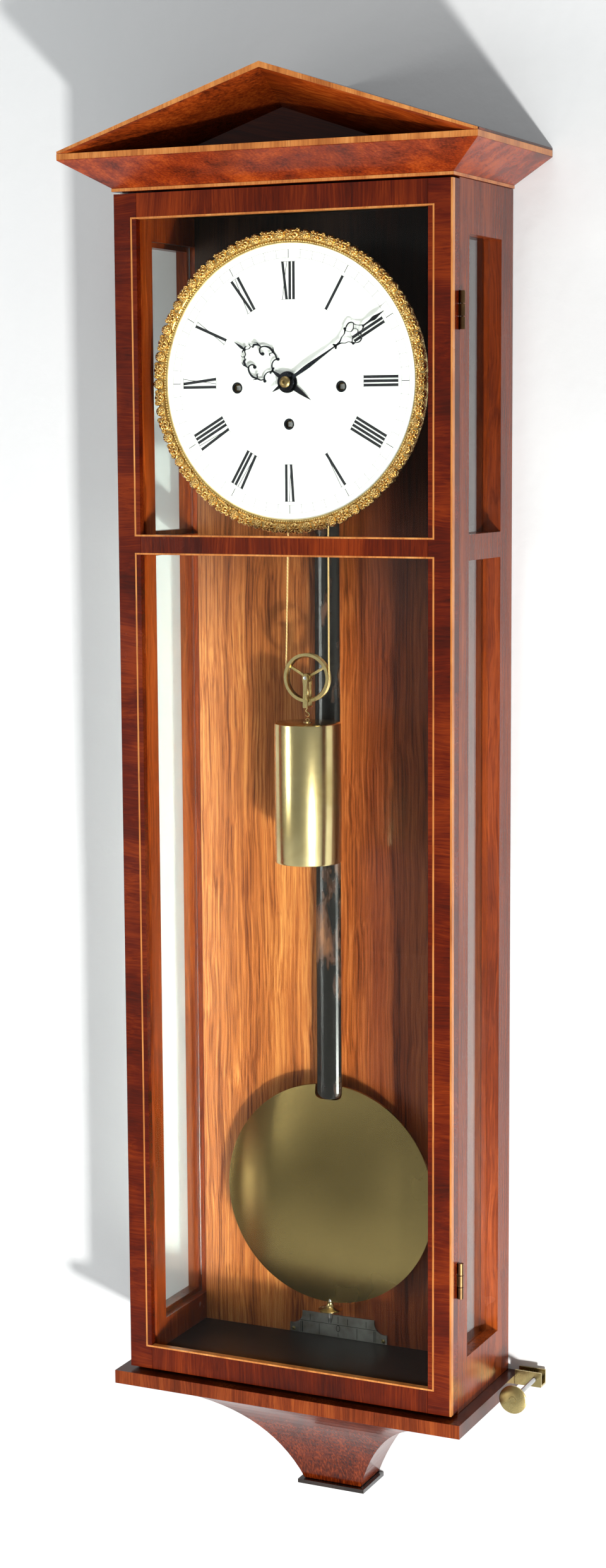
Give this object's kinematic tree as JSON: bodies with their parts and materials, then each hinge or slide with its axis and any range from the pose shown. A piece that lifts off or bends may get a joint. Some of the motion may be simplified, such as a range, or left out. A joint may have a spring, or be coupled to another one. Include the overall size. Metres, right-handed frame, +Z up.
{
  "type": "wall clock",
  "caption": "Gabled glazed wall clock with a weight-driven train, long pendulum, gilt bezel, enamel dial and hinged door.",
  "frame": {"origin": "middle of the hanging plate's back face, on the wall plane, above its keyhole", "axes": "+X to the clock's right seen from the front, +Y into the wall, +Z up; the front faces -Y"},
  "size_m": [0.3248, 0.1451, 1.0518],
  "materials": {
    "veneer": "french-polished mahogany veneer, semi-gloss",
    "board": "walnut board, wax-polished",
    "ebonised": "black-stained and polished wood",
    "brass": "lacquered brass, lightly worn",
    "gilt": "fire-gilt cast brass, chased",
    "old_brass": "dull aged brass",
    "steel": "filed steel, dull",
    "blued_steel": "blued and polished steel",
    "enamel": "white fired enamel on copper, glossy",
    "silvered": "silvered brass, matt",
    "gut": "twisted gut line, waxed",
    "glass": "old drawn window glass"
  },
  "bodies": {
    "case": {"back_board": "board", "side_frame_left": "veneer", "side_frame_right": "veneer", "side_glass_left_upper": "glass", "side_glass_left_lower": "glass", "side_glass_right_upper": "glass", "side_glass_right_lower": "glass", "top_board": "veneer", "bottom_board": "veneer", "plinth_board": "veneer", "pendant": "veneer", "pendant_cap": "ebonised", "cornice": "veneer", "pediment": "veneer", "wall_hanger": "steel", "levelling_bracket": "old_brass", "beat_scale": "silvered", "movement_bracket": "steel", "front_plate": "brass", "back_plate": "brass", "dial": "enamel", "dial_bezel": "gilt", "gongs": "steel", "hinge_upper_case_leaf": "old_brass", "hinge_lower_case_leaf": "old_brass"},
    "door": {"door_stile_left": "veneer", "door_stile_right": "veneer", "door_rail_top": "veneer", "door_rail_middle": "veneer", "door_rail_bottom": "veneer", "door_glass_upper": "glass", "door_glass_lower": "glass", "hinge_upper_door_leaf": "old_brass", "hinge_lower_door_leaf": "old_brass"},
    "minute": {"centre_wheel": "brass", "cannon_pinion": "steel", "minute_hand": "blued_steel", "hand_nut": "old_brass"},
    "minute_wheel": {"minute_wheel": "brass"},
    "hour": {"hour_wheel": "brass", "hour_hand": "blued_steel"},
    "great_wheel": {"great_wheel": "brass"},
    "winding_drum": {"winding_drum": "brass"},
    "third_wheel": {"third_wheel": "brass"},
    "escape_wheel": {"escape_wheel": "brass"},
    "anchor": {"anchor": "steel"},
    "pendulum": {"suspension_spring": "steel", "pendulum_rod": "ebonised", "rating_rod": "steel", "pendulum_bob": "old_brass"},
    "rating_nut": {"rating_nut": "brass"},
    "weight": {"weight": "brass", "pulley_stirrup": "brass", "weight_line": "gut"},
    "pulley": {"pulley": "brass"},
    "strike_barrel_left": {"strike_barrel_left": "brass"},
    "strike_barrel_right": {"strike_barrel_right": "brass"},
    "hammer_quarter": {"hammer_quarter": "steel"},
    "hammer_hour": {"hammer_hour": "steel"},
    "levelling_screw": {"levelling_screw": "old_brass"}
  },
  "joints": [
    {"name": "door_hinge", "type": "hinge", "parent": "case", "child": "door", "pos_m": [0.1321, -0.10315, -0.0539], "axis": [0, 0, 1], "range_deg": [0, 120]},
    {"name": "minute_hand_turn", "type": "hinge", "parent": "case", "child": "minute", "pos_m": [0, -0.09, -0.1006], "axis": [0, 1, 0], "continuous": true},
    {"name": "minute_wheel_turn", "type": "hinge", "parent": "case", "child": "minute_wheel", "pos_m": [0.0099, -0.091, -0.0907], "axis": [0, 1, 0], "continuous": true},
    {"name": "hour_hand_turn", "type": "hinge", "parent": "case", "child": "hour", "pos_m": [0, -0.0942, -0.1006], "axis": [0, 1, 0], "continuous": true},
    {"name": "great_wheel_turn", "type": "hinge", "parent": "case", "child": "great_wheel", "pos_m": [0, -0.06, -0.1299], "axis": [0, 1, 0], "continuous": true},
    {"name": "third_wheel_turn", "type": "hinge", "parent": "case", "child": "third_wheel", "pos_m": [-0.01454, -0.0565, -0.08837], "axis": [0, 1, 0], "continuous": true},
    {"name": "escape_wheel_turn", "type": "hinge", "parent": "case", "child": "escape_wheel", "pos_m": [0, -0.073, -0.0776], "axis": [0, 1, 0], "continuous": true},
    {"name": "pendulum_swing", "type": "hinge", "parent": "case", "child": "pendulum", "pos_m": [0, -0.037, -0.0548], "axis": [0, 1, 0], "range_deg": [-2.2, 2.2]},
    {"name": "anchor_rock", "type": "hinge", "parent": "case", "child": "anchor", "pos_m": [0, -0.073, -0.0548], "axis": [0, 1, 0], "range_deg": [-2.2, 2.2]},
    {"name": "rating_nut_turn", "type": "hinge", "parent": "pendulum", "child": "rating_nut", "pos_m": [0, -0.037, -0.7988], "axis": [0, 0, 1], "continuous": true},
    {"name": "weight_drop", "type": "slide", "parent": "case", "child": "weight", "axis": [0, 0, 1], "range_m": [-0.37, 0.075], "deforming": ["weight_line"]},
    {"name": "winding_drum_turn", "type": "hinge", "parent": "case", "child": "winding_drum", "pos_m": [0, -0.0618, -0.1299], "axis": [0, 1, 0], "range_deg": [-3263, 663]},
    {"name": "pulley_turn", "type": "hinge", "parent": "weight", "child": "pulley", "pos_m": [0, -0.072, -0.3116], "axis": [0, 1, 0], "range_deg": [-1241, 253]},
    {"name": "strike_barrel_left_turn", "type": "hinge", "parent": "case", "child": "strike_barrel_left", "pos_m": [-0.0405, -0.0618, -0.1041], "axis": [0, 1, 0], "range_deg": [0, 1800]},
    {"name": "strike_barrel_right_turn", "type": "hinge", "parent": "case", "child": "strike_barrel_right", "pos_m": [0.0405, -0.0618, -0.1041], "axis": [0, 1, 0], "range_deg": [0, 1800]},
    {"name": "hammer_quarter_lift", "type": "hinge", "parent": "case", "child": "hammer_quarter", "pos_m": [-0.05, -0.052, -0.1566], "axis": [0, 1, 0], "range_deg": [-10, 0]},
    {"name": "hammer_hour_lift", "type": "hinge", "parent": "case", "child": "hammer_hour", "pos_m": [0.05, -0.052, -0.1566], "axis": [0, 1, 0], "range_deg": [0, 10]},
    {"name": "levelling_screw_turn", "type": "hinge", "parent": "case", "child": "levelling_screw", "pos_m": [0.155, -0.058, -0.8371], "axis": [0, 1, 0], "continuous": true}
  ],
  "couplings": [
    {"joint": "minute_wheel_turn", "follows": "minute_hand_turn", "ratio": -0.33333},
    {"joint": "hour_hand_turn", "follows": "minute_hand_turn", "ratio": 0.083333},
    {"joint": "great_wheel_turn", "follows": "minute_hand_turn", "ratio": -0.055556},
    {"joint": "third_wheel_turn", "follows": "minute_hand_turn", "ratio": -10},
    {"joint": "escape_wheel_turn", "follows": "minute_hand_turn", "ratio": 75},
    {"joint": "anchor_rock", "follows": "pendulum_swing", "ratio": 1},
    {"joint": "winding_drum_turn", "follows": "weight_drop", "rad_per_m": 153.85},
    {"joint": "pulley_turn", "follows": "weight_drop", "rad_per_m": 58.48}
  ]
}
